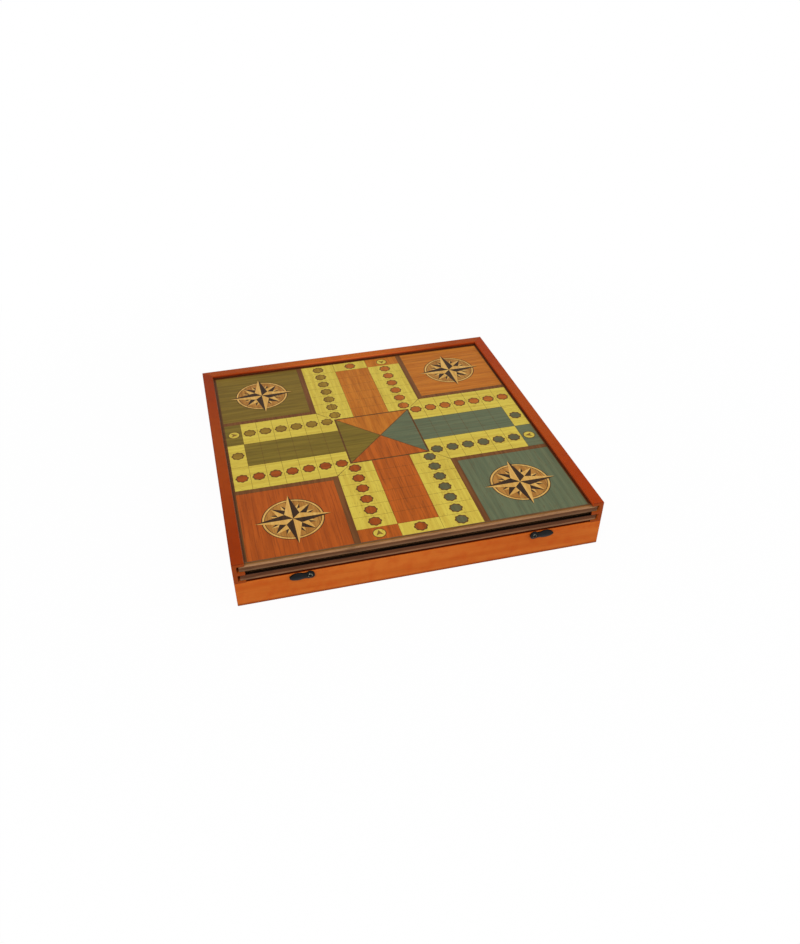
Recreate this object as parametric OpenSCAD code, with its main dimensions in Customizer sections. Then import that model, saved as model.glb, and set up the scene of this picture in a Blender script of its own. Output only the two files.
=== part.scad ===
// Square wooden games box, open at the top, with two game boards that slide in grooves
// from the front and two turn buttons on the low front wall that keep them in.
// The origin is at the centre of the underside; the front is towards -Y and up is +Z.

/* [Case] */
// Width of the case, left to right
case_w = 340; // [330:1:380]
// Depth of the case, front to back
case_d = 340; // [330:1:380]
// Height of the side and back walls
case_h = 48; // [47:0.5:60]
// Thickness of the walls
wall_t = 11; // [10:0.5:14]
// Height of the low front wall
front_wall_h = 26.5; // [24:0.5:27.5]
// Rounding of the walls' outer edges
edge_r = 1; // [0.5:0.1:2]

/* [Grooves] */
// Depth of each groove in the side and back walls
groove_depth = 7; // [4:0.5:8]
// Height of each groove
groove_h = 6.9; // [6.6:0.1:7.5]
// Height of the lower groove's floor above the underside
lower_groove_z = 28.2; // [27.5:0.1:29]
// Height of the upper groove's floor above the underside
upper_groove_z = 38.2; // [37.5:0.1:39.5]

/* [Boards] */
// Thickness of a board with its printed sheet
board_t = 6.4; // [5:0.1:6.6]
// Thickness of the printed sheet on a board
sheet_t = 0.4; // [0.2:0.1:0.8]
// Free play between a board and the groove at each side
side_play = 2; // [0.5:0.1:2.5]
// Free play between a pushed-in board and the back groove
back_play = 0.5; // [0.2:0.1:2]
// How far the front edges of the pushed-in boards stand back from the front of the case
front_setback = 0.8; // [0.2:0.1:2]
// Bare strip that the printed sheet leaves along the front edge
bare_strip = 3.5; // [2.5:0.1:6]
// Rounding of a board's front edge, above and below
nose_r = 0.8; // [0.5:0.1:1.8]

/* [Bottom] */
// Thickness of the bottom panel
panel_t = 3; // [2:0.5:4]
// How far the panel is let into each wall
rabbet_w = 4; // [2:0.5:5]

/* [Dividers] */
// Thickness of the divider strips
divider_t = 4; // [3:0.5:6]
// Height of the dividers' top edge above the underside
divider_top = 25; // [18:0.5:25.5]
// How far a divider's end is let into what it meets
housing_depth = 2; // [1:0.5:3]
// Depth, front to back, of the back row of pockets
back_pocket_d = 50; // [40:1:70]
// Depth, front to back, of the front row of pockets
front_pocket_d = 62; // [50:1:80]
// Number of pockets in the back row, one for each pawn colour and one for the dice
back_pockets = 5; // [5:1:5]

/* [Latches] */
// Distance of each latch screw from the middle of the front wall
latch_x = 104; // [60:1:130]
// Height of the latch screws above the underside
latch_screw_z = 23.7; // [21:0.1:23.9]
// Length of the leaf from the screw to its blunt tip
leaf_reach = 18.2; // [16:0.1:19]
// Widest width of the leaf
leaf_w = 8; // [7:0.2:8]
// Length of the leaf, if it ran out to a point at both ends
leaf_full_length = 16; // [15:0.2:17]
// Width of the neck between the round end and the leaf
neck_w = 5.8; // [5:0.2:7]
// Radius of the round end at the screw
latch_end_r = 4.1; // [3.8:0.1:4.2]
// Thickness of a latch along its ridge
latch_t = 1.8; // [1.5:0.1:2.4]
// Radius of the rounded ridge of a latch
ridge_r = 9; // [8:0.5:20]

/* [Latch screws] */
// Radius of the screw's shank
shank_r = 1.5; // [1.2:0.05:1.7]
// Length of the shank in the wood
shank_in_wood = 9; // [6:0.5:9]
// Radius of the screw's head
screw_head_r = 2.6; // [2.4:0.1:3]
// Height of the screw's domed head
screw_head_h = 1.4; // [1:0.1:1.8]
// Thickness of the washer behind each latch
washer_t = 0.5; // [0.5:0.1:1]
// Outer radius of the washer
washer_r = 2.9; // [2.6:0.1:3]
// Length of one slot of the cross recess in the screw's head
recess_length = 3; // [2.4:0.1:3.6]
// Width of one slot of the cross recess
recess_w = 0.7; // [0.5:0.1:0.9]
// Depth of the cross recess below the top of the dome
recess_depth = 0.8; // [0.5:0.1:1]

/* [Pawns] */
// Height of a pawn
pawn_h = 22; // [18:0.5:24]
// Diameter of a pawn's foot
pawn_foot_d = 12.5; // [10:0.5:13]
// Diameter of a pawn's ball head
pawn_head_d = 8.2; // [7:0.2:9]
// Radius of a pawn's waist just below the collar
pawn_waist_r = 2; // [1.6:0.1:2.4]
// Radius of a pawn's collar
pawn_collar_r = 3.2; // [2.8:0.1:3.6]
// Distance between pawns in a pocket
pawn_pitch = 14.2; // [13.5:0.1:15]

/* [Dice] */
// Edge length of a die
die_a = 13; // [10:0.5:16]
// Radius of the ball that hollows out each spot
spot_r = 1.5; // [1:0.1:1.8]
// Depth of each spot
spot_depth = 0.6; // [0.3:0.1:0.9]
// Distance between the two dice in their pocket
dice_spacing = 26; // [22:1:30]

/* [Draughtsmen] */
// Diameter of a draughtsman
man_d = 26; // [20:0.5:30]
// Thickness of a draughtsman
man_t = 7; // [5:0.5:7.5]
// Depth of the ring turned in each face of a draughtsman
ring_depth = 0.7; // [0.3:0.1:1]
// Distance between the stacks in a pocket
stack_pitch = 32; // [30.5:0.5:34]
// Gap that keeps stacked draughtsmen apart
stack_gap = 0.05; // [0.02:0.01:0.2]

/* [Hidden] */
$fn = 96;
pawn_colours = ["olive", "red", "teal", "orange"];
pawn_paint = [[0.45, 0.42, 0.18], [0.66, 0.22, 0.1], [0.3, 0.42, 0.36], [0.8, 0.45, 0.14]];
men_colours = ["light", "dark"];
men_stain = [[0.83, 0.68, 0.44], [0.35, 0.17, 0.09]];
numbers = [1, 2, 3, 4];
sides = ["left", "right"];

wood = [0.77, 0.36, 0.13];
board_brown = [0.42, 0.28, 0.18];
sheet_yellow = [0.8, 0.73, 0.25];
latch_black = [0.13, 0.16, 0.19];
past = 1;
inner_w = case_w - 2 * wall_t;
inner_d = case_d - 2 * wall_t;
core_t = board_t - sheet_t;
board_w = case_w - 2 * (wall_t - groove_depth) - 2 * side_play;
board_d = case_d - (wall_t - groove_depth) - back_play - front_setback;
board_front_y = -case_d / 2 + front_setback;
back_divider_y = inner_d / 2 - back_pocket_d - divider_t / 2;
front_divider_y = -inner_d / 2 + front_pocket_d + divider_t / 2;
back_pocket_w = (inner_w - (back_pockets - 1) * divider_t) / back_pockets;
front_pocket_w = (inner_w - divider_t) / 2;
pocket_step = back_pocket_w + divider_t;
back_cross_x = [for (k = [1 : back_pockets - 1]) -inner_w / 2 + k * pocket_step - divider_t / 2];
back_pocket_x = [for (k = [0 : back_pockets - 1]) -inner_w / 2 + back_pocket_w / 2 + k * pocket_step];
pawn_pockets = [0, 1, 3, 4];
dice_pocket = 2;
pawn_to_wall = 3;
pawn_y = inner_d / 2 - pawn_foot_d / 2 - pawn_to_wall;
dice_y = pawn_y - (die_a - pawn_foot_d / 2);
stack_to_wall = 2.5;
stack_y = -inner_d / 2 + man_d / 2 + stack_to_wall;
die_turns = [20, -35];
running_gap = 0.05;
screw_play = 0.2;
latch_back_y = -case_d / 2 - washer_t - running_gap;
spot_face = 1.2;

// What comes off a square corner at the origin to round it
module corner_off(r) {
    difference() {
        translate([-past, -past]) square(r + past);
        translate([r, r]) circle(r);
    }
}

// Section of a wall: outer face at x = 0, inner face at x = wall_t
module wall_section(height, grooved) {
    difference() {
        square([wall_t, height]);
        translate([0, height]) mirror([0, 1]) corner_off(edge_r);
        translate([wall_t, height]) rotate(180) corner_off(edge_r);
        translate([wall_t - rabbet_w, -past]) square([rabbet_w + past, panel_t + past]);
        if (grooved)
            for (z = [lower_groove_z, upper_groove_z])
                translate([wall_t - groove_depth, z]) square([groove_depth + past, groove_h]);
    }
}

// The 45 degree cut at a wall's end, whose outer corner is at the origin
module mitre_off(height) {
    translate([0, 0, -past]) linear_extrude(height + past)
        polygon([[-past, past], [wall_t + past, -wall_t - past], [wall_t + past, past]]);
}

// Rounds the upright outer corner at a wall's end
module upright_edge_off() {
    translate([0, 0, -past]) linear_extrude(case_h + 2 * past) mirror([0, 1]) corner_off(edge_r);
}

// A wall that runs along Y with its outer face at x = 0, mitred at the +Y end up to far_mitre
// and at the -Y end up to near_mitre, with a housing for a divider at each of the given places
module wall(length, height, grooved, far_mitre, near_mitre, housings) {
    difference() {
        translate([0, length / 2, 0]) rotate([90, 0, 0])
            linear_extrude(length) wall_section(height, grooved);
        translate([0, length / 2, 0]) {
            mitre_off(far_mitre);
            upright_edge_off();
        }
        mirror([0, 1, 0]) translate([0, length / 2, 0]) {
            mitre_off(near_mitre);
            upright_edge_off();
        }
        for (y = housings) divider_housing(wall_t - housing_depth, y);
    }
}

// A slot, open towards +X, for the end of a divider
module divider_housing(x, y) {
    translate([x, y - divider_t / 2, panel_t - past])
        cube([housing_depth + past, divider_t, divider_top - panel_t + past]);
}

module side_wall() {
    translate([-case_w / 2, 0, 0])
        difference() {
            wall(case_d, case_h, true, case_h + past, front_wall_h,
                [back_divider_y, front_divider_y]);
            // The slotted front end is eased on its inner edge too
            translate([wall_t, -case_d / 2, front_wall_h])
                linear_extrude(case_h) mirror([1, 0]) corner_off(edge_r);
        }
}

module left_wall() {
    color(wood) side_wall();
}

module right_wall() {
    color(wood) mirror([1, 0, 0]) side_wall();
}

module back_wall() {
    color(wood) translate([0, case_d / 2, 0]) rotate(-90)
        wall(case_w, case_h, true, case_h + past, case_h + past, back_cross_x);
}

module front_wall() {
    color(wood) difference() {
        translate([0, -case_d / 2, 0]) rotate(90)
            wall(case_w, front_wall_h, false, front_wall_h + past, front_wall_h + past, [0]);
        for (side = [-1, 1])
            translate([side * latch_x, -case_d / 2 - past, latch_screw_z]) rotate([-90, 0, 0])
                cylinder(r = shank_r + running_gap, h = shank_in_wood + past);
    }
}

module bottom_panel() {
    panel_w = case_w - 2 * (wall_t - rabbet_w);
    panel_d = case_d - 2 * (wall_t - rabbet_w);
    color("burlywood") translate([-panel_w / 2, -panel_d / 2, 0]) cube([panel_w, panel_d, panel_t]);
}

// A divider strip along +X from the origin, with its top edges rounded
module strip(length) {
    strip_h = divider_top - panel_t;
    translate([0, 0, panel_t]) rotate([90, 0, 90]) linear_extrude(length)
        translate([-divider_t / 2, 0])
            difference() {
                square([divider_t, strip_h]);
                translate([0, strip_h]) mirror([0, 1]) corner_off(edge_r);
                translate([divider_t, strip_h]) rotate(180) corner_off(edge_r);
            }
}

module back_divider() {
    color("sienna") translate([0, back_divider_y, 0]) difference() {
        translate([-inner_w / 2 - housing_depth, 0, 0]) strip(inner_w + 2 * housing_depth);
        for (x = back_cross_x)
            rotate(90) divider_housing(divider_t / 2 - housing_depth, -x);
    }
}

module front_divider() {
    color("sienna") translate([0, front_divider_y, 0]) difference() {
        translate([-inner_w / 2 - housing_depth, 0, 0]) strip(inner_w + 2 * housing_depth);
        rotate(-90) divider_housing(divider_t / 2 - housing_depth, 0);
    }
}

module back_cross_divider(n) {
    color("sienna") translate([back_cross_x[n - 1], inner_d / 2 - back_pocket_d - housing_depth, 0])
        rotate(90) strip(back_pocket_d + 2 * housing_depth);
}

module front_cross_divider() {
    color("sienna") translate([0, -inner_d / 2 - housing_depth, 0])
        rotate(90) strip(front_pocket_d + 2 * housing_depth);
}

// The plywood core of a board, with its rounded front edge, its underside at the given height
module board_core(z) {
    translate([-board_w / 2, board_front_y, z]) rotate([90, 0, 90]) linear_extrude(board_w)
        difference() {
            square([board_d, core_t]);
            corner_off(nose_r);
            translate([0, core_t]) mirror([0, 1]) corner_off(nose_r);
        }
}

// The printed sheet on a board's upper face, short of the front edge by the bare strip
module printed_sheet(z) {
    translate([-board_w / 2, board_front_y + bare_strip, z + core_t])
        cube([board_w, board_d - bare_strip, sheet_t]);
}

module upper_board() {
    color(board_brown) board_core(upper_groove_z);
}

module ludo_sheet() {
    color(sheet_yellow) printed_sheet(upper_groove_z);
}

module lower_board() {
    color(board_brown) board_core(lower_groove_z);
}

module chequer_sheet() {
    color(sheet_yellow) printed_sheet(lower_groove_z);
}

// Outline of a latch with its screw at the origin and its leaf along +X
module latch_outline() {
    blunted = 0.6;
    leaf_mid = leaf_reach + blunted - leaf_full_length / 2;
    leaf_arc_r = ((leaf_full_length / 2) ^ 2 + (leaf_w / 2) ^ 2) / leaf_w;
    circle(latch_end_r);
    translate([0, -neck_w / 2]) square([leaf_mid, neck_w]);
    intersection() {
        translate([leaf_mid, leaf_w / 2 - leaf_arc_r]) circle(leaf_arc_r);
        translate([leaf_mid, leaf_arc_r - leaf_w / 2]) circle(leaf_arc_r);
        translate([0, -leaf_w]) square([leaf_reach, 2 * leaf_w]);
    }
}

// A turn button lying open along +X: ridged along its length, spot-faced for the screw's head
module latch() {
    translate([latch_x, latch_back_y, latch_screw_z]) rotate([90, 0, 0])
        difference() {
            intersection() {
                linear_extrude(latch_t) latch_outline();
                translate([0, 0, latch_t - ridge_r]) rotate([0, 90, 0])
                    cylinder(r = ridge_r, h = 4 * leaf_reach, center = true);
            }
            translate([0, 0, -past]) cylinder(r = shank_r + running_gap, h = latch_t + 2 * past);
            translate([0, 0, spot_face]) cylinder(r = screw_head_r + screw_play, h = latch_t);
        }
}

module latch_right() {
    color(latch_black) latch();
}

module latch_left() {
    color(latch_black) mirror([1, 0, 0]) latch();
}

// Domed screw with a cross recess; its shank runs through the latch and washer into the wall
module latch_screw(side) {
    head_seat = washer_t + 2 * running_gap + spot_face;
    dome_r = (screw_head_r ^ 2 + screw_head_h ^ 2) / (2 * screw_head_h);
    point_h = 2.5;
    point_r = 0.2;
    color("dimgray") translate([side * latch_x, -case_d / 2, latch_screw_z]) rotate([90, 0, 0]) {
        difference() {
            intersection() {
                translate([0, 0, head_seat + screw_head_h - dome_r]) sphere(dome_r);
                translate([0, 0, head_seat]) cylinder(r = screw_head_r, h = screw_head_h);
            }
            for (turn = [45, 135])
                rotate(turn)
                    translate([-recess_length / 2, -recess_w / 2, head_seat + screw_head_h - recess_depth])
                        cube([recess_length, recess_w, past]);
        }
        translate([0, 0, -shank_in_wood + point_h])
            cylinder(r = shank_r, h = shank_in_wood - point_h + head_seat);
        translate([0, 0, -shank_in_wood]) cylinder(r1 = point_r, r2 = shank_r, h = point_h);
    }
}

module latch_washer(side) {
    color("gray") translate([side * latch_x, -case_d / 2, latch_screw_z]) rotate([90, 0, 0])
        difference() {
            cylinder(r = washer_r, h = washer_t);
            translate([0, 0, -past]) cylinder(r = shank_r + screw_play, h = washer_t + 2 * past);
        }
}

// Halfway between the first and the last number of a list
function mean(list) = (list[0] + list[len(list) - 1]) / 2;

// Centre of the circle of radius r through points a and b, on the right of the way from a to b
function arc_centre(a, b, r) =
    let (half = (b - a) / 2, side_step = sqrt(r ^ 2 - half * half) / norm(half))
    a + half + side_step * [half[1], -half[0]];

// Half of a pawn's turned profile: foot, hollow flank, collar and ball head
module pawn_profile() {
    foot_h = 1.8;
    foot_r = pawn_foot_d / 2;
    foot_step = 1.1;
    head_r = pawn_head_d / 2;
    collar_h = 1.6;
    collar_z = pawn_h - pawn_head_d - collar_h / 8;
    collar_straight = pawn_collar_r - collar_h / 2;
    flank_foot = [foot_r - foot_step, foot_h];
    flank_neck = [pawn_waist_r, collar_z];
    flank_r = 15;
    square([foot_r - foot_h / 2, foot_h]);
    translate([foot_r - foot_h / 2, foot_h / 2]) circle(foot_h / 2);
    difference() {
        translate([0, foot_h / 2]) square([flank_foot[0], collar_z - foot_h / 2]);
        translate(arc_centre(flank_foot, flank_neck, flank_r)) circle(flank_r);
    }
    translate([0, collar_z - collar_h / 2]) square([collar_straight, collar_h]);
    translate([collar_straight, collar_z]) circle(collar_h / 2);
    intersection() {
        translate([0, pawn_h - head_r]) circle(head_r);
        translate([0, collar_z]) square([head_r, pawn_h]);
    }
}

module pawn(colour, n) {
    pocket = pawn_pockets[colour];
    color(pawn_paint[colour])
        translate([back_pocket_x[pocket] + (n - mean(numbers)) * pawn_pitch, pawn_y, panel_t])
            rotate_extrude() pawn_profile();
}

// Places of the spots on a face of a die, from one to six, in steps of the spot spacing
function spots(count) = concat(
    count % 2 == 1 ? [[0, 0]] : [],
    count > 1 ? [[-1, -1], [1, 1]] : [],
    count > 3 ? [[-1, 1], [1, -1]] : [],
    count == 6 ? [[-1, 0], [1, 0]] : []
);

// A die with rounded corners and hollow spots; opposite faces add up to seven
module die_body() {
    half = die_a / 2;
    spot_step = die_a / 4;
    corner_sphere_r = die_a * 0.74;
    faces = [[0, 0, 1], [90, 0, 2], [0, 90, 3], [0, -90, 4], [-90, 0, 5], [180, 0, 6]];
    difference() {
        intersection() {
            cube(die_a, center = true);
            sphere(corner_sphere_r);
        }
        for (face = faces)
            rotate([face[0], face[1], 0])
                for (spot = spots(face[2]))
                    translate([spot[0] * spot_step, spot[1] * spot_step,
                        half + spot_r - spot_depth]) sphere(spot_r);
    }
}

module die(n) {
    color("ivory")
        translate([back_pocket_x[dice_pocket] + (n - 1.5) * dice_spacing, dice_y, panel_t + die_a / 2])
            rotate(die_turns[n - 1]) die_body();
}

// Half of a draughtsman's turned profile, with a dished middle and one ring on each face
module man_profile() {
    rim_r = man_d / 2;
    rim_ease = 1;
    ring_at = rim_r * 0.78;
    dish_r = rim_r * 0.55;
    dish_depth = 0.5;
    difference() {
        square([rim_r, man_t]);
        translate([rim_r, 0]) mirror([1, 0]) corner_off(rim_ease);
        translate([rim_r, man_t]) rotate(180) corner_off(rim_ease);
        for (z = [0, man_t]) {
            translate([ring_at, z]) rotate(45) square(ring_depth * sqrt(2), center = true);
            translate([-past, z - dish_depth]) square([dish_r + past, 2 * dish_depth]);
        }
    }
}

// Three draughtsmen in a stack; the light ones stand in the left front pocket
module men_stack(colour, n) {
    side = colour == 0 ? -1 : 1;
    pocket_x = side * (front_pocket_w + divider_t) / 2;
    color(men_stain[colour])
        for (k = [0 : 2])
            translate([pocket_x + (n - mean(numbers)) * stack_pitch, stack_y,
                panel_t + k * (man_t + stack_gap)])
                rotate_extrude() man_profile();
}

left_wall();
right_wall();
back_wall();
front_wall();
bottom_panel();
back_divider();
front_divider();
front_cross_divider();
for (n = numbers)
    back_cross_divider(n);
upper_board();
ludo_sheet();
lower_board();
chequer_sheet();
latch_left();
latch_right();
latch_screw(-1);  // latch_screw_left
latch_screw(1);  // latch_screw_right
latch_washer(-1);  // latch_washer_left
latch_washer(1);  // latch_washer_right
for (c = [0 : 3], n = numbers)
    pawn(c, n);
for (n = [1, 2])
    die(n);
for (c = [0, 1], n = numbers)
    men_stack(c, n);
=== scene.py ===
import math

import bmesh
import bpy
from mathutils import Matrix, Vector


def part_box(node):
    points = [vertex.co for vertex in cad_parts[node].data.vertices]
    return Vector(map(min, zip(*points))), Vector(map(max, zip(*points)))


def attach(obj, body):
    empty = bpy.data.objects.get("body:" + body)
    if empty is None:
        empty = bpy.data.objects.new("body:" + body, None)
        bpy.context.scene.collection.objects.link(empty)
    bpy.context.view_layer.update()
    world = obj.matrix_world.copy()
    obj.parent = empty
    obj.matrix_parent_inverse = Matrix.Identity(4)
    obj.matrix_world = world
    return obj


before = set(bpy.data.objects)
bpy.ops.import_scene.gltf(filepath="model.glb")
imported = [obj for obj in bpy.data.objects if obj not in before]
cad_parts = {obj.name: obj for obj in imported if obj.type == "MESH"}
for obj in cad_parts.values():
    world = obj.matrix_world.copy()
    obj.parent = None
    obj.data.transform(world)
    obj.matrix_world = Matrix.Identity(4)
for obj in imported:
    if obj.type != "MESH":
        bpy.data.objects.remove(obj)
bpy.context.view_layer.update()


# The four walls are planks of stained hardwood, mitred and glued at the corners, and all but
# the front one are grooved for the boards. The stain lies mottled on the faces and redder on
# the narrow edges, under a thin satin varnish. The grooves and the front wall's top under the
# boards are darkened with painted shade, the feet with painted shadow, and the back wall's
# inner face carries painted light.
ALONG_X, ALONG_Y, ALONG_Z = range(3)


class Value:
    """What one socket of a material gives; arithmetic on it adds Math nodes."""

    def __init__(self, finish, socket):
        self.finish = finish
        self.socket = socket

    def math(self, operation, first, second=0.0):
        return self.finish.node("Math", {"operation": operation}, {0: first, 1: second})

    def __add__(self, other):
        return self.math("ADD", self, other)

    def __sub__(self, other):
        return self.math("SUBTRACT", self, other)

    def __rsub__(self, other):
        return self.math("SUBTRACT", other, self)

    def __mul__(self, other):
        return self.math("MULTIPLY", self, other)

    def __gt__(self, other):
        return self.math("GREATER_THAN", self, other)

    def __lt__(self, other):
        return self.math("LESS_THAN", self, other)

    def __abs__(self):
        return self.math("ABSOLUTE", self)

    __radd__ = __add__
    __rmul__ = __mul__

    def least(self, other):
        return self.math("MINIMUM", self, other)

    def most(self, other):
        return self.math("MAXIMUM", self, other)

    def rise(self, low, high):
        """0 below low, 1 above high and a smooth rise between them."""
        edges = {"Value": self, "From Min": low, "From Max": high}
        return self.finish.node("MapRange", {"interpolation_type": "SMOOTHSTEP"}, edges)


class Nodes:
    """A tree of shader nodes: a node is made with its settings first, then its sockets."""

    def __init__(self, tree):
        self.tree = tree

    def feed(self, socket, value):
        if isinstance(value, Value):
            self.tree.links.new(value.socket, socket)
        else:
            socket.default_value = value

    def node(self, kind, settings=None, inputs=None, output=0):
        made = self.tree.nodes.new("ShaderNode" + kind)
        for name, value in (settings or {}).items():
            setattr(made, name, value)
        for socket, value in (inputs or {}).items():
            self.feed(made.inputs[socket], value)
        return Value(self, made.outputs[output])


class Finish(Nodes):
    """The material of a surface: constants go on its shader, patterns are built as nodes."""

    FIRST_COLOUR, SECOND_COLOUR, MIXED_COLOUR = 6, 7, 2  # sockets of a Mix node

    def __init__(self, name, constants):
        self.material = bpy.data.materials.new(name)
        self.material.use_nodes = True
        super().__init__(self.material.node_tree)
        self.shader = self.tree.nodes["Principled BSDF"]
        for socket, value in constants.items():
            self.feed(self.shader.inputs[socket], value)
        self.place = self.node("TexCoord", output="Object")
        self.x, self.y, self.z = self.split(self.place)

    def split(self, vector):
        return [self.node("SeparateXYZ", {}, {0: vector}, axis) for axis in "XYZ"]

    def mix(self, share, first, second):
        """The first colour where share is 0, the second where it is 1."""
        inputs = {"Factor": share, self.FIRST_COLOUR: first, self.SECOND_COLOUR: second}
        return self.node("Mix", {"data_type": "RGBA"}, inputs, self.MIXED_COLOUR)

    def lay(self, colour, shade, where, share):
        """The colour with that share of a shade laid over it, where the mask is 1."""
        return self.mix(where * share, colour, shade)

    def noise(self, size, detail=3.0, start=(0, 0, 0)):
        """Cloudy noise; size is that of a cloud, or one for each axis, in metres."""
        sizes = size if isinstance(size, tuple) else (size, size, size)
        scale = tuple(1 / s for s in sizes)
        spot = self.node("Mapping", {}, {"Vector": self.place, "Location": start, "Scale": scale})
        return self.node("TexNoise", {}, {"Vector": spot, "Scale": 1.0, "Detail": detail})

    def streaks(self, along, width, length, start=(0, 0, 0)):
        """Noise drawn out along one axis, as the grain of wood is."""
        sizes = [width, width, width]
        sizes[along] = length
        return self.noise(tuple(sizes), 4.0, start)

    def wear(self, colour, relief, depth):
        """Sets the surface's colour, and its relief of that depth in metres."""
        self.feed(self.shader.inputs["Base Color"], colour)
        inputs = {"Height": relief, "Distance": depth, "Strength": 1.0}
        self.feed(self.shader.inputs["Normal"], self.node("Bump", {}, inputs))
        return self


def srgb(red, green, blue):
    """A colour given as it looks on a screen, 0 to 255, in the renderer's linear values."""
    parts = [c / 255 for c in (red, green, blue)]
    return tuple(c / 12.92 if c < 0.04 else ((c + 0.055) / 1.055) ** 2.4 for c in parts) + (1.0,)


def dress(finish, *nodes):
    for name in nodes:
        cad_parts[name].material_slots[0].material = finish.material


wall_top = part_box("left_wall")[1].z
front_wall_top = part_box("front_wall")[1].z
case_half = -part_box("front_wall")[0].y
inner_half = -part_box("left_wall")[1].x

# Between which two heights, or distances from the case's middle, each tone of a wall changes.
arris_w = 0.0007
top_arris = (wall_top - arris_w, wall_top - arris_w / 3)
end_arris = (case_half - arris_w, case_half - arris_w / 3)
outer_arris = (case_half - 0.0012, case_half - 0.0002)
inner_face = (inner_half + 0.0001, inner_half + 0.0005)
groove_roof = (0.0448, 0.0451)
lip_shadow = (0.0440, 0.0490)
ledge_skin = (front_wall_top - 0.0002, front_wall_top + 0.0001)
ledge_back = (inner_half, inner_half + 0.001)
ledge_front = (case_half - 0.0014, case_half - 0.0006)
foot_shadow = (0.0002, 0.0034)
middle_to_end = (0.03, 0.13)
mitre_joint = (0, 0.00025)

stains = {
    "face": srgb(188, 91, 26),
    "face_figure": srgb(199, 105, 36),
    "face_mottle": srgb(184, 74, 16),
    "edge_mottle": srgb(120, 36, 0),
    "front_end": srgb(146, 62, 18),
    "outer_arris": srgb(92, 26, 4),
    "lip_shadow": srgb(115, 28, 4),
    "groove": srgb(52, 14, 4),
    "ledge": srgb(104, 28, 2),
    "foot": srgb(110, 40, 4),
    "mitre_joint": srgb(70, 22, 6),
    "pores": srgb(116, 42, 6),
}


def wall_inside(wood, to_end, lip_ends, lip_middle):
    """The inner face: painted shade up to the roof of the upper groove, and above it the lip,
    with painted shadow at its foot.
    """
    lip = wood.mix(to_end, lip_middle, lip_ends)
    lip = wood.mix(wood.z.rise(*lip_shadow), stains["lip_shadow"], lip)
    return wood.mix(wood.z.rise(*groove_roof), stains["groove"], lip)


def stained_wood(name, along, edge_ends, edge_middle, lip_ends, lip_middle):
    wood = Finish(name, {"Roughness": 0.42, "Specular IOR Level": 0.05})
    grain = wood.streaks(along, width=0.0009, length=0.04)
    figure = wood.streaks(along, width=0.008, length=0.12, start=(3, 1, 2))
    mottle = wood.noise(size=0.009, detail=5.0)
    beyond_x, beyond_y, forward = abs(wood.x), abs(wood.y), 0 - wood.y
    to_end = abs((wood.x, wood.y)[along]).rise(*middle_to_end)

    face = wood.mix(figure.rise(0.3, 0.7), stains["face"], stains["face_figure"])
    face = wood.lay(face, stains["face_mottle"], mottle.rise(0.4, 0.75), share=0.5)
    edge = wood.mix(to_end, edge_middle, edge_ends)
    edge = wood.lay(edge, stains["edge_mottle"], mottle.rise(0.45, 0.7), share=0.2)
    on_top = wood.z.rise(*top_arris)
    colour = wood.mix(on_top, face, edge)

    on_end = forward.rise(*end_arris) * (wood.z > front_wall_top)
    colour = wood.mix(on_end * (1 - on_top), colour, stains["front_end"])
    outside = beyond_x.most(beyond_y).rise(*outer_arris)
    colour = wood.lay(colour, stains["outer_arris"], on_top * outside, share=0.5)
    inside = 1 - beyond_x.most(wood.y).rise(*inner_face)
    inside = inside * (wood.z > front_wall_top) * (1 - on_end)
    colour = wood.mix(inside, colour, wall_inside(wood, to_end, lip_ends, lip_middle))

    # Painted shade on the front wall's top, under the lower board's front edge.
    shaded_ledge = (wood.z > ledge_skin[0]) * (wood.z < ledge_skin[1])
    shaded_ledge = shaded_ledge * forward.rise(*ledge_back) * (1 - forward.rise(*ledge_front))
    colour = wood.mix(shaded_ledge, colour, stains["ledge"])
    colour = wood.lay(colour, stains["foot"], 1 - wood.z.rise(*foot_shadow), share=0.75)
    in_joint = 1 - abs(beyond_x - beyond_y).rise(*mitre_joint)
    in_joint = in_joint * (wood.y > 0).most(wood.z < front_wall_top)
    colour = wood.lay(colour, stains["mitre_joint"], in_joint, share=0.6)
    colour = wood.lay(colour, stains["pores"], grain.rise(0.58, 0.74), share=0.25)
    return wood.wear(colour, grain, depth=0.00004)


# Of each wall: how its grain runs, the tones of its top edge at the ends and in the middle,
# and the same of the lip above its upper groove; the back wall's lip is painted light in its
# middle.
wall_tones = {
    "left_wall": (ALONG_Y, (146, 50, 0), (155, 62, 6), (200, 90, 40), (200, 90, 40)),
    "right_wall": (ALONG_Y, (164, 56, 0), (168, 68, 6), (190, 80, 34), (190, 80, 34)),
    "back_wall": (ALONG_X, (162, 68, 8), (190, 92, 16), (186, 74, 28), (240, 120, 62)),
    "front_wall": (ALONG_X, (168, 68, 10), (168, 68, 10), (60, 20, 4), (60, 20, 4)),
}
for node, (along, *tones) in wall_tones.items():
    dress(stained_wood(f"{node}_wood", along, *(srgb(*tone) for tone in tones)), node)


# The bottom is a panel of birch plywood, let into the walls from below. Its faces have a
# pale, lightly figured veneer with fine, short rays in it.
panel_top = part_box("bottom_panel")[1].z
birch = Finish("birch_plywood", {"Roughness": 0.6})
birch_figure = birch.streaks(ALONG_X, width=0.009, length=0.12)
birch_rays = birch.streaks(ALONG_X, width=0.0006, length=0.007, start=(5, 0, 0))
veneer = birch.mix(birch_figure.rise(0.3, 0.7), srgb(196, 158, 108), srgb(214, 180, 132))
veneer = birch.lay(veneer, srgb(150, 108, 66), birch_rays.rise(0.6, 0.75), share=0.4)
birch.wear(veneer, birch_rays, depth=0.00004)
dress(birch, "bottom_panel")


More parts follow.
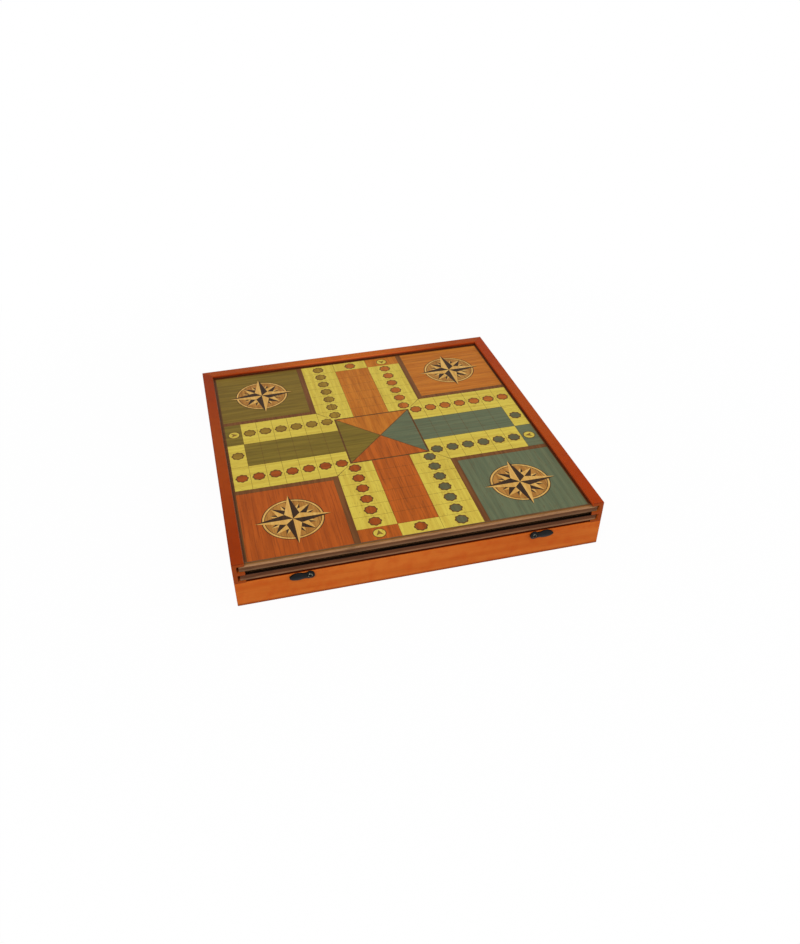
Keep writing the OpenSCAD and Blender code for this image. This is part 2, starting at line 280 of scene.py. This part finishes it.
# The pockets are made by strips of the same hardwood as the walls, left lighter and
# unvarnished, that stand in housings cut in the walls and in each other.
def divider_wood(name, along):
    strip = Finish(name, {"Roughness": 0.55})
    grain = strip.streaks(along, width=0.0008, length=0.03)
    figure = strip.streaks(along, width=0.004, length=0.08, start=(2, 5, 1))
    colour = strip.mix(figure.rise(0.3, 0.7), srgb(168, 98, 52), srgb(190, 122, 72))
    colour = strip.lay(colour, srgb(112, 60, 30), grain.rise(0.55, 0.7), share=0.5)
    return strip.wear(colour, grain, depth=0.00005)


numbers = (1, 2, 3, 4)
dress(divider_wood("long_divider_wood", ALONG_X), "back_divider", "front_divider")
dress(divider_wood("cross_divider_wood", ALONG_Y),
      "front_cross_divider", *(f"back_cross_divider_{n}" for n in numbers))


# Sixteen pawns are turned from beech and dipped in paint. The paint is glossy, follows the
# fine turning rings and is rubbed thin round the foot.
rubbed_foot = (panel_top + 0.0004, panel_top + 0.0016)


def pawn_paint(name, colour, thin):
    paint = Finish(name, {"Roughness": 0.32, "Coat Weight": 0.5, "Coat Roughness": 0.12})
    rings = paint.streaks(ALONG_Z, width=0.02, length=0.0006)
    clouds = paint.noise(size=0.004)
    wear_and_painted_light = (1 - paint.z.rise(*rubbed_foot)) * clouds.rise(0.4, 0.6)
    shade = paint.lay(colour, thin, clouds.rise(0.3, 0.75), share=0.35)
    shade = paint.lay(shade, srgb(190, 150, 100), wear_and_painted_light, share=0.7)
    return paint.wear(shade, rings, depth=0.00003)


pawn_colours = {
    "olive": (srgb(116, 106, 46), srgb(96, 86, 34)),
    "red": (srgb(168, 56, 34), srgb(140, 40, 26)),
    "teal": (srgb(72, 100, 88), srgb(56, 82, 74)),
    "orange": (srgb(206, 116, 46), srgb(184, 96, 34)),
}
for colour, (shade, thin) in pawn_colours.items():
    dress(pawn_paint(f"{colour}_paint", shade, thin), *(f"{colour}_pawn_{n}" for n in numbers))


# Two dice of cast resin, the colour of old ivory, with black paint in the hollow spots. The
# spots are what lies below a die's faces but is too near its middle to be a rounded corner.
die_turns = {"die_1": 20, "die_2": -35}
spot_skin = (0.00008, 0.00003)
corner_reach = 1.38


def middle_of(node):
    low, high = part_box(node)
    return (low + high) / 2


def dice_resin(node, turn):
    middle = middle_of(node)
    half = middle.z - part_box(node)[0].z
    resin = Finish(f"{node}_resin", {"Roughness": 0.3, "Coat Weight": 0.3})
    from_middle = {0: resin.place, 1: tuple(middle)}
    moved = resin.node("VectorMath", {"operation": "SUBTRACT"}, from_middle)
    unturned = {"Vector": moved, "Angle": -math.radians(turn)}
    square = resin.node("VectorRotate", {"rotation_type": "Z_AXIS"}, unturned)
    across, along, up = resin.split(square)
    reach = abs(across).most(abs(along)).most(abs(up))
    distance = resin.node("VectorMath", {"operation": "LENGTH"}, {0: square}, "Value")
    below_face = 1 - reach.rise(*(half - depth for depth in spot_skin))
    spot = below_face * (1 - (distance > half * corner_reach))
    clouds = resin.noise(size=0.006)
    ivory = resin.mix(clouds.rise(0.3, 0.7), srgb(226, 214, 184), srgb(236, 228, 204))
    return resin.wear(resin.mix(spot, ivory, srgb(24, 20, 18)), clouds, depth=0.00002)


for node, turn in die_turns.items():
    dress(dice_resin(node, turn), node)


# Twenty-four draughtsmen are turned from one plank and stacked in threes: half are left pale
# and half are stained dark. Straight grain crosses their faces under a thin varnish.
def turned_wood(name, pale, deep, pores):
    wood = Finish(name, {"Roughness": 0.4, "Coat Weight": 0.2, "Coat Roughness": 0.25})
    grain = wood.streaks(ALONG_X, width=0.0007, length=0.02)
    figure = wood.streaks(ALONG_X, width=0.003, length=0.04, start=(1, 7, 4))
    colour = wood.mix(figure.rise(0.3, 0.7), deep, pale)
    colour = wood.lay(colour, pores, grain.rise(0.55, 0.72), share=0.6)
    return wood.wear(colour, grain, depth=0.00004)


men_woods = {
    "light_men": (srgb(224, 190, 132), srgb(206, 168, 108), srgb(160, 116, 66)),
    "dark_men": (srgb(96, 50, 28), srgb(76, 38, 22), srgb(46, 22, 12)),
}
for men, shades in men_woods.items():
    dress(turned_wood(f"{men}_wood", *shades), *(f"{men}_{n}" for n in numbers))


# Each board is brown-stained plywood, whose plies show along the front: the middle ply is end
# grain and takes the stain darker. The upper board has a painted highlight along its top front
# edge; the lower board, under it, has painted shade there and on the bare strip behind, and both
# have painted shade along the bottom of the front. A printed, lacquered sheet is glued on its
# face.
ply_joint = (0.0020, 0.0030)
painted_light_depth = (0.0006, 0.0014)
face_skin = (0.0001, 0.0002)


def board_plywood(node, outer, middle, wear_and_painted_light, painted_light_w, bare, shaded_bottom_h):
    low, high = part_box(node)
    ply = Finish(f"{node}_plywood", {"Roughness": 0.5, "Specular IOR Level": 0.1})
    grain = ply.streaks(ALONG_X, width=0.0008, length=0.012)
    figure = ply.streaks(ALONG_X, width=0.004, length=0.05, start=(4, 4, 0))
    height, depth = ply.z - low.z, high.z - ply.z
    colour = ply.mix(height.rise(*ply_joint), outer, middle)
    # A painted highlight along the upper board's top front edge, and painted shade along the
    # lower board's.
    colour = ply.mix(depth.rise(*painted_light_depth), wear_and_painted_light, colour)
    behind_painted_light = (ply.y - low.y).rise(painted_light_w * 0.6, painted_light_w)
    # Behind it the bare strip, which on the lower board is near-black painted shade.
    colour = ply.mix((1 - depth.rise(*face_skin)) * behind_painted_light, colour, bare)
    above_shaded_bottom = height.rise(shaded_bottom_h * 0.5, shaded_bottom_h)
    # Painted shade along the bottom of the front and on the underside.
    colour = ply.mix(above_shaded_bottom, srgb(76, 30, 12), colour)
    colour = ply.lay(colour, srgb(64, 38, 20), figure.rise(0.3, 0.7), share=0.2)
    colour = ply.lay(colour, srgb(46, 26, 14), grain.rise(0.5, 0.68), share=0.5)
    return ply.wear(colour, grain, depth=0.00005)


upper_plywood = board_plywood(
    "upper_board", outer=srgb(115, 81, 54), middle=srgb(101, 63, 37), wear_and_painted_light=srgb(166, 122, 84),
    painted_light_w=0.0022, bare=srgb(144, 98, 48), shaded_bottom_h=0.0003)
lower_plywood = board_plywood(
    "lower_board", outer=srgb(141, 98, 67), middle=srgb(96, 54, 28), wear_and_painted_light=srgb(92, 54, 32),
    painted_light_w=0.0003, bare=srgb(8, 4, 2), shaded_bottom_h=0.0009)
dress(upper_plywood, "upper_board")
dress(lower_plywood, "lower_board")


# The print is laid on in flat inks over a dark line plate, so each ink is a thin plate of its
# own: fields and cells on the lines, discs and figures on the fields. Where the lacquer is
# thin the grain of the printed wood shows through, along the arms and across the yards.
ink_t = 0.00003
ink_sunk = ink_t
print_middle = Vector((0.0004, -0.0052))
print_half = 0.1557
print_stretch = 1.0235
arm_half = 0.0569
lane_half = 0.01925
square_half = 0.0407
line_w = 0.0003

# The outermost cells and yards run on a little past the print's own edge, and near the walls
# the walls' shadow is painted on everything, at the back a little sooner than at the sides.
overrun = 0.0006
print_end = print_half + overrun
wall_shadow_edge = (0.1564, 0.1588)
wall_shadow_sooner_at_back = 0.0015


def ink(name, shade, deep, yard_level=0, grain_share=0.45, yard_shade=0.0):
    """A lacquered ink; yard_level is 1 where its yard's grain runs from left to right."""
    film = Finish(name, {"Roughness": 0.5, "Specular IOR Level": 0.1})
    beyond_x = abs(film.x - print_middle.x)
    beyond_y = abs(film.y - print_middle.y)
    in_yard = beyond_x.least(beyond_y) > arm_half + line_w
    level = in_yard * yard_level + (1 - in_yard) * (beyond_x - beyond_y > 0)

    def both_ways(width, length, start=(0, 0, 0)):
        across = film.streaks(ALONG_X, width, length, start)
        upright = film.streaks(ALONG_Y, width, length, start)
        return across * level + upright * (1 - level)

    grain = both_ways(width=0.001, length=0.035)
    figure = both_ways(width=0.0035, length=0.06, start=(6, 2, 0))
    flecks = both_ways(width=0.0009, length=0.006, start=(2, 9, 0))
    colour = film.mix(figure.rise(0.3, 0.7), deep, shade)
    colour = film.lay(colour, srgb(84, 44, 12), grain.rise(0.52, 0.68), grain_share)
    colour = film.lay(colour, srgb(92, 56, 16), flecks.rise(0.6, 0.68), share=0.3)
    colour = film.lay(colour, srgb(132, 28, 6), in_yard, yard_shade)
    # Painted shadow along the side and back walls.
    painted_wall_shadow = abs(film.x).most(film.y + wall_shadow_sooner_at_back).rise(*wall_shadow_edge)
    colour = film.lay(colour, srgb(66, 14, 0), painted_wall_shadow, share=0.95)
    return film.wear(colour, grain, depth=0.00002)


def quarter_turn(quarter):
    """Turns a point of the print round its middle by that many quarter turns."""
    return Matrix.Rotation(math.radians(90 * quarter), 2)


def area(bm, corners, quarter=0):
    """A flat area between the given corners, turned by quarter turns round the middle."""
    turn = quarter_turn(quarter)
    bm.faces.new([bm.verts.new((*(turn @ Vector(corner)), 0)) for corner in corners])


def block(bm, left, right, near, far, quarter=0):
    """A rectangle of the arm that points towards the front, less half a line all round."""
    left, right = left + line_w / 2, right - line_w / 2
    near, far = -near - line_w / 2, -far + line_w / 2
    area(bm, [(left, far), (right, far), (right, near), (left, near)], quarter)


def stretched(bm):
    """Draws the print out from front to back, and cuts off its overrun at the front."""
    bmesh.ops.scale(bm, vec=(1, print_stretch, 1), verts=bm.verts[:])
    for v in bm.verts:
        v.co.y = max(v.co.y, -print_half * print_stretch)
    return bm


def press(name, bm, layer, finish, sheet, body):
    """Gives flat areas the thickness of their layer and lays them on a sheet."""
    sheet_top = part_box(sheet)[1].z
    skin = bmesh.ops.extrude_face_region(bm, geom=bm.faces[:], use_keep_orig=True)
    raised = [v for v in skin["geom"] if isinstance(v, bmesh.types.BMVert)]
    bmesh.ops.translate(bm, vec=(0, 0, ink_sunk + ink_t * (layer + 1)), verts=raised)
    bmesh.ops.translate(bm, vec=(*print_middle, sheet_top - ink_sunk), verts=bm.verts[:])
    bmesh.ops.recalc_face_normals(bm, faces=bm.faces[:])
    mesh = bpy.data.meshes.new(name)
    bm.to_mesh(mesh)
    bm.free()
    mesh.materials.append(finish.material)
    piece = bpy.data.objects.new(name, mesh)
    bpy.context.scene.collection.objects.link(piece)
    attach(piece, body)


def ludo(name, bm, layer, finish):
    press(name, bm, layer, finish, "ludo_sheet", "upper_board")


yellow_ink = ink("yellow_ink", srgb(215, 193, 76), srgb(201, 174, 64), grain_share=0.12)
line_ink = ink("line_ink", srgb(104, 68, 28), srgb(84, 52, 20))
inks = {
    "red": ink("red_ink", srgb(187, 92, 23), srgb(161, 77, 15),
               grain_share=0.4, yard_shade=0.2),
    "teal": ink("teal_ink", srgb(102, 109, 79), srgb(88, 97, 71), grain_share=0.2),
    "orange": ink("orange_ink", srgb(196, 118, 34), srgb(176, 98, 22),
                  yard_level=1, grain_share=0.3),
    "olive": ink("olive_ink", srgb(128, 107, 34), srgb(106, 89, 25),
                 yard_level=1, grain_share=0.25, yard_shade=0.06),
}
colours = list(inks)

plate_gap = 0.0004
plate_half = inner_half - plate_gap
plate_back = plate_half - print_middle.y
bare_front_w = 0.0015


def line_plate(sheet, bare_w):
    """The plate under a sheet's inks, which shows between them, less a bare strip in front."""
    plate = bmesh.new()
    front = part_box(sheet)[0].y + bare_w - print_middle.y
    area(plate, [(-plate_half, front), (plate_half, front),
                 (plate_half, plate_back), (-plate_half, plate_back)])
    return plate


ludo("ludo_lines", line_plate("ludo_sheet", bare_front_w), 0, line_ink)


# The track: seven yellow cells down each side of an arm, of which the last on one side is a
# start in the colour of that arm, and a coloured home lane between them with a yellow end.
# The cells next to the middle square are mitred to those of the next arm.
cell_count = 7
cell_step = (print_half - square_half) / cell_count
mitre_w = 0.0006
mitre_far_x = arm_half - mitre_w * 0.7
mitre_near_x = square_half + mitre_w * 0.1
square_frame_w = 0.0016
triangle_half = square_half - square_frame_w
triangle_gap = 0.0006
triangle_tip_x = triangle_half - triangle_gap
band_w = 0.0052
yard_start = arm_half + line_w / 2 + band_w + line_w


def cell_start(step):
    """How far out on an arm the cell of that number starts."""
    return print_end if step == cell_count else square_half + step * cell_step


def arm_cells(field, yellow_cells, quarter):
    """The lane, start and track of one arm; step 0 is next to the middle square."""
    for step in range(cell_count):
        near, far = cell_start(step), cell_start(step + 1)
        last = step == cell_count - 1
        block(yellow_cells if last else field, -lane_half, lane_half, near, far, quarter)
        if step == 0:
            inner_x, near_y, far_y = lane_half + line_w / 2, -near - line_w / 2, -far + line_w / 2
            corners = [(inner_x, far_y), (mitre_far_x, far_y), (mitre_near_x, near_y),
                       (inner_x, near_y)]
            for side in (-1, 1):
                area(yellow_cells, [(side * x, y) for x, y in corners], quarter)
        else:
            start = field if last else yellow_cells
            block(start, -arm_half, -lane_half, near, far, quarter)
            block(yellow_cells, lane_half, arm_half, near, far, quarter)


yellow_cells = bmesh.new()
for quarter, colour in enumerate(colours):
    field = bmesh.new()
    arm_cells(field, yellow_cells, quarter)
    area(field, [(-triangle_tip_x, -triangle_half), (triangle_tip_x, -triangle_half),
                 (0, -triangle_gap)], quarter)
    area(field, [(-print_end, -print_end), (-yard_start, -print_end),
                 (-yard_start, -yard_start), (-print_end, -yard_start)], quarter)
    ludo(f"ludo_{colour}_field", stretched(field), 1, inks[colour])
ludo("ludo_yellow_cells", stretched(yellow_cells), 1, yellow_ink)


# Brown bands edge the two sides of each yard that lie against the track, and are mitred at
# the corner.
band_ink = ink("band_ink", srgb(122, 76, 34), srgb(102, 60, 26))
bands = bmesh.new()
band_start = arm_half + line_w / 2
band_end = band_start + band_w
for quarter in range(4):
    area(bands, [(-band_end, -print_end), (-band_start, -print_end),
                 (-band_start, -band_start), (-band_end, -band_end)], quarter)
    area(bands, [(-band_end, -band_end), (-band_start, -band_start),
                 (-print_end, -band_start), (-print_end, -band_end)], quarter)
ludo("ludo_yard_bands", stretched(bands), 1, band_ink)


# A disc with an eight-lobed dark rim stands in each cell of the track: in the colour of the
# arm on one side and of the next arm on the other. A start has a plain yellow disc instead,
# with an arrowhead that points to the middle of the board.
disc_r = 0.0062
rim_w = 0.0012
start_rim_w = 0.0008
lobes = 8
rim_swing, face_swing = 0.07, 0.03
disc_across = (lane_half + arm_half) / 2
arrowhead = [(0, 0.0042), (0.0034, -0.0030), (0, -0.0012), (-0.0034, -0.0030)]
arrow_ink = ink("arrow_ink", srgb(142, 106, 40), srgb(126, 92, 34))
disc_inks = {
    "red": ink("red_disc_ink", srgb(164, 78, 17), srgb(146, 66, 11)),
    "teal": ink("teal_disc_ink", srgb(99, 95, 63), srgb(84, 84, 55), grain_share=0.2),
    "orange": ink("orange_disc_ink", srgb(187, 105, 32), srgb(170, 90, 24)),
    "olive": ink("olive_disc_ink", srgb(157, 124, 38), srgb(136, 105, 29)),
}


def disc_at(quarter, across, step):
    """The middle of the disc in a cell of the arm turned by that many quarters."""
    place = quarter_turn(quarter) @ Vector((across, -cell_start(step + 0.5)))
    return Vector((place.x, place.y * print_stretch))


def disc(bm, middle, radius, swing=0.0):
    """A filled circle whose edge swings in and out by that share of its radius."""
    ring = bmesh.ops.create_circle(bm, cap_ends=True, segments=48, radius=radius)["verts"]
    for v in ring:
        reach = 1 + swing * math.cos(lobes * math.atan2(v.co.y, v.co.x))
        v.co.xy = v.co.xy * reach + middle


rims, start_faces, arrows = bmesh.new(), bmesh.new(), bmesh.new()
faces = {colour: bmesh.new() for colour in colours}
for quarter, colour in enumerate(colours):
    following = colours[(quarter + 1) % len(colours)]
    spots = [(colour, disc_at(quarter, -disc_across, step)) for step in range(cell_count - 1)]
    spots += [(following, disc_at(quarter, disc_across, step)) for step in range(cell_count)]
    spots += [(colour, disc_at(quarter, 0, cell_count - 1))]
    for disc_colour, middle in spots:
        disc(rims, middle, disc_r, rim_swing)
        disc(faces[disc_colour], middle, disc_r - rim_w, face_swing)
    middle = disc_at(quarter, -disc_across, cell_count - 1)
    disc(rims, middle, disc_r)
    disc(start_faces, middle, disc_r - start_rim_w)
    unturned = quarter_turn(quarter).inverted() @ middle
    area(arrows, [Vector(corner) + unturned for corner in arrowhead], quarter)
ludo("ludo_disc_rims", rims, 2, line_ink)
for colour, bm in faces.items():
    ludo(f"ludo_{colour}_discs", bm, 3, disc_inks[colour])
ludo("ludo_start_discs", start_faces, 3, yellow_ink)
ludo("ludo_start_arrows", arrows, 4, arrow_ink)


# Each yard has a compass rose on a tan disc: four long points over four shorter and eight
# small ones, every point half in light and half in dark ink, in a double ring.
light_ink = ink("rose_light_ink", srgb(222, 176, 96), srgb(204, 152, 72), grain_share=0.2)
dark_ink = ink("rose_dark_ink", srgb(58, 38, 18), srgb(42, 26, 12))
tan_ink = ink("rose_tan_ink", srgb(182, 128, 58), srgb(160, 106, 42))
yard_middle = (print_half + yard_start) / 2
rose_tiers = (
    {"points": 8, "reach": 0.0225, "waist": 0.0120, "turn": math.pi / 8},
    {"points": 4, "reach": 0.0256, "waist": 0.0110, "turn": math.pi / 4},
    {"points": 4, "reach": 0.0350, "waist": 0.0100, "turn": 0},
)
outer_r, pale_outer_r, pale_inner_r, ground_r = 0.0288, 0.0280, 0.0262, 0.0256


def half_points(bm, tier, side, middle, lean):
    """One flank of a tier's points: a triangle, copied all round the middle of the rose."""
    half_step = math.pi / tier["points"]
    shoulder = Matrix.Rotation(side * half_step, 2) @ Vector((tier["waist"], 0))
    turn = Matrix.Rotation(tier["turn"] + lean, 2)
    corners = [Vector((0, 0)), Vector((tier["reach"], 0)), shoulder]
    flank = bm.faces.new([bm.verts.new((*(turn @ c + middle), 0)) for c in corners])
    copies = tier["points"] - 1
    bmesh.ops.spin(bm, geom=[flank, *flank.edges, *flank.verts], cent=(*middle, 0),
                   axis=(0, 0, 1), angle=2 * half_step * copies, steps=copies,
                   use_duplicate=True)


def ring(bm, middle, outer, inner):
    edges = []
    for radius in (outer, inner):
        loop = bmesh.ops.create_circle(bm, segments=64, radius=radius)["verts"]
        bmesh.ops.translate(bm, vec=(*middle, 0), verts=loop)
        edges += {edge for v in loop for edge in v.link_edges}
    bmesh.ops.bridge_loops(bm, edges=edges)


lights = [bmesh.new() for tier in rose_tiers]
darks = [bmesh.new() for tier in rose_tiers]
ring_darks, ring_lights, grounds = bmesh.new(), bmesh.new(), bmesh.new()
for quarter in range(4):
    middle = quarter_turn(quarter) @ Vector((-yard_middle, -yard_middle))
    middle.y *= print_stretch
    for tier, light, dark in zip(rose_tiers, lights, darks):
        half_points(light, tier, 1, middle, math.radians(90 * quarter))
        half_points(dark, tier, -1, middle, math.radians(90 * quarter))
    ring(ring_darks, middle, outer_r, pale_outer_r)
    ring(ring_lights, middle, pale_outer_r, pale_inner_r)
    ring(ring_darks, middle, pale_inner_r, ground_r)
    disc(grounds, middle, ground_r)
ludo("ludo_rose_grounds", grounds, 2, tan_ink)
ludo("ludo_rose_ring_dark", ring_darks, 2, dark_ink)
ludo("ludo_rose_ring_light", ring_lights, 2, light_ink)
for number, (light, dark) in enumerate(zip(lights, darks), 1):
    ludo(f"ludo_rose_light_{number}", light, 2 + number, light_ink)
    ludo(f"ludo_rose_dark_{number}", dark, 2 + number, dark_ink)


# Under each print lies a sheet of plain brown wood, glued to the board. It shows as a narrow
# margin round the print, and in the sheet's edges.
sheet_wood = Finish("sheet_wood", {"Roughness": 0.5, "Specular IOR Level": 0.2})
sheet_grain = sheet_wood.streaks(ALONG_X, width=0.0009, length=0.02)
sheet_colour = sheet_wood.mix(sheet_grain.rise(0.35, 0.7), srgb(112, 78, 44), srgb(84, 54, 28))
sheet_wood.wear(sheet_colour, sheet_grain, depth=0.00003)
dress(sheet_wood, "ludo_sheet", "chequer_sheet")


# The lower board is printed for draughts: eight rows of eight squares in the yellow and red
# inks of the ludo board, in a brown band. The near-black plate under them, which shows round
# the band and between the squares, is painted shade.
chequer_half = 0.144
rows = 8
square_w = 2 * chequer_half / rows
band_inner = chequer_half + 0.002
band_outer = 0.156
chequer_bare_w = 0.0001
painted_shade_ink = ink("painted_shade_ink", srgb(9, 5, 3), srgb(6, 3, 2), grain_share=0)


def chequer(name, bm, layer, finish):
    press(name, bm, layer, finish, "chequer_sheet", "lower_board")


# A near-black plate of painted shade under the squares and bands.
chequer("chequer_shade_plate", line_plate("chequer_sheet", chequer_bare_w), 0, painted_shade_ink)
squares = {"yellow": bmesh.new(), "red": bmesh.new()}
for row in range(rows):
    for column in range(rows):
        left = -chequer_half + column * square_w
        near = -chequer_half + row * square_w
        bm = squares["red" if (row + column) % 2 else "yellow"]
        block(bm, left, left + square_w, near, near + square_w)
chequer("chequer_yellow_squares", squares["yellow"], 1, yellow_ink)
chequer("chequer_red_squares", squares["red"], 1, inks["red"])
chequer_bands = bmesh.new()
for quarter in range(4):
    area(chequer_bands, [(-band_outer, -band_outer), (band_outer, -band_outer),
                         (band_inner, -band_inner), (-band_inner, -band_inner)], quarter)
chequer("chequer_bands", chequer_bands, 1, band_ink)


# The turn buttons are pressed steel with a ridge down the leaf, blackened and oiled. The
# black is a little uneven.
blackened = Finish("blackened_steel", {"Roughness": 0.4, "Specular IOR Level": 0.16})
black_clouds = blackened.noise(size=0.0025)
black_colour = blackened.mix(black_clouds.rise(0.35, 0.75), srgb(3, 5, 6), srgb(9, 14, 16))
blackened.wear(black_colour, black_clouds, depth=0.00004)
dress(blackened, "latch_left", "latch_right")


# Small domed screws of the same blackened steel hold them, with a thin bright washer between
# button and wood. Each dome has a broken ring of painted highlight round its rim.
rim_inside = (0.0013, 0.0016)
rim_outside = (0.0020, 0.0023)


def screw_steel(node):
    middle = middle_of(node)
    steel = Finish(f"{node}_steel", {"Roughness": 0.28, "Metallic": 0.9})
    clouds = steel.noise(size=0.0012)
    off_x, off_z = steel.x - middle.x, steel.z - middle.z
    from_axis = steel.node("Math", {"operation": "SQRT"}, {0: off_x * off_x + off_z * off_z})
    rim = from_axis.rise(*rim_inside) * (1 - from_axis.rise(*rim_outside))
    colour = steel.mix(clouds.rise(0.35, 0.7), srgb(20, 22, 24), srgb(40, 42, 46))
    # Painted highlight: a broken bright ring on the dome's rim.
    colour = steel.mix(rim * clouds.rise(0.42, 0.58), colour, srgb(128, 124, 104))
    return steel.wear(colour, clouds, depth=0.00002)


for node in ("latch_screw_left", "latch_screw_right"):
    dress(screw_steel(node), node)
washer = Finish("washer_steel", {"Roughness": 0.35, "Metallic": 0.9})
washer_clouds = washer.noise(size=0.001)
washer_colour = washer.mix(washer_clouds.rise(0.3, 0.7), srgb(120, 120, 118), srgb(160, 160, 158))
washer.wear(washer_colour, washer_clouds, depth=0.00002)
dress(washer, "latch_washer_left", "latch_washer_right")


# The studio: a white floor that keeps the case's shadow, a large soft lamp over the camera's
# left shoulder, a weaker one from the right, and an even white surround.
floor_half = 8.0
floor_drop = 0.0003
floor_mesh = bpy.data.meshes.new("floor")
floor_bm = bmesh.new()
bmesh.ops.create_grid(floor_bm, x_segments=1, y_segments=1, size=floor_half)
bmesh.ops.translate(floor_bm, vec=(0, 0, -floor_drop), verts=floor_bm.verts[:])
floor_bm.to_mesh(floor_mesh)
floor_bm.free()
floor = bpy.data.objects.new("floor", floor_mesh)
bpy.context.scene.collection.objects.link(floor)


def seen_directly(nodes):
    """1 for the rays that show the surround itself: the camera's, glossy and clear ones."""
    names = ("Is Camera Ray", "Is Glossy Ray", "Is Transmission Ray")
    rays = [nodes.node("LightPath", output=name) for name in names]
    return rays[0].most(rays[1]).most(rays[2])


white = (1, 1, 1, 1)
floor_white = Finish("floor_white", {"Roughness": 0.9, "Base Color": (0.9, 0.9, 0.9, 1)})
glow_near, glow_far = 0.96, 1.0
glow_change = (0.3, 0.7)
away = floor_white.node("VectorMath", {"operation": "LENGTH"}, {0: floor_white.place}, "Value")
glow_share = away.rise(*glow_change) * (glow_far - glow_near) + glow_near
glow = floor_white.node("Emission", {}, {"Color": white, "Strength": 1.0})
body = Value(floor_white, floor_white.shader.outputs[0])
shares = {0: seen_directly(floor_white) * glow_share, 1: body, 2: glow}
surface = floor_white.tree.nodes["Material Output"].inputs["Surface"]
floor_white.feed(surface, floor_white.node("MixShader", {}, shares))
floor_mesh.materials.append(floor_white.material)

world = bpy.data.worlds.new("surround")
world.use_nodes = True
bpy.context.scene.world = world
surround = Nodes(world.node_tree)
surround_light = 0.62
strength = seen_directly(surround) * (1 - surround_light) + surround_light
background = world.node_tree.nodes["Background"]
surround.feed(background.inputs["Strength"], strength)
surround.feed(background.inputs["Color"], white)


def soft_lamp(name, place, size, watts):
    light = bpy.data.lights.new(name, "AREA")
    light.shape = "DISK"
    light.size = size
    light.energy = watts
    lamp = bpy.data.objects.new(name, light)
    lamp.location = place
    lamp.rotation_euler = (-Vector(place)).to_track_quat("-Z", "Y").to_euler()
    bpy.context.scene.collection.objects.link(lamp)


soft_lamp("key_lamp", place=(-0.7, -1.3, 1.7), size=1.2, watts=17)
soft_lamp("side_lamp", place=(1.3, -0.7, 1.1), size=1.0, watts=5)


# The camera stands in front of the case, a little to its left, and looks down on it. Its
# picture is shifted a little, because the photograph was cropped to one side of its middle.
camera = bpy.data.cameras.new("camera")
camera.sensor_fit = "VERTICAL"
camera.sensor_height = 36
camera.lens = 30.75
camera.shift_x = 0.036
camera.shift_y = 0.0406
eye = bpy.data.objects.new("camera", camera)
eye.location = (-0.1607, -0.684, 0.50847)
eye.rotation_euler = [math.radians(turn) for turn in (51.064, 1.372, -13.031)]
bpy.context.scene.collection.objects.link(eye)
bpy.context.scene.camera = eye
bpy.context.scene.view_settings.view_transform = "Standard"
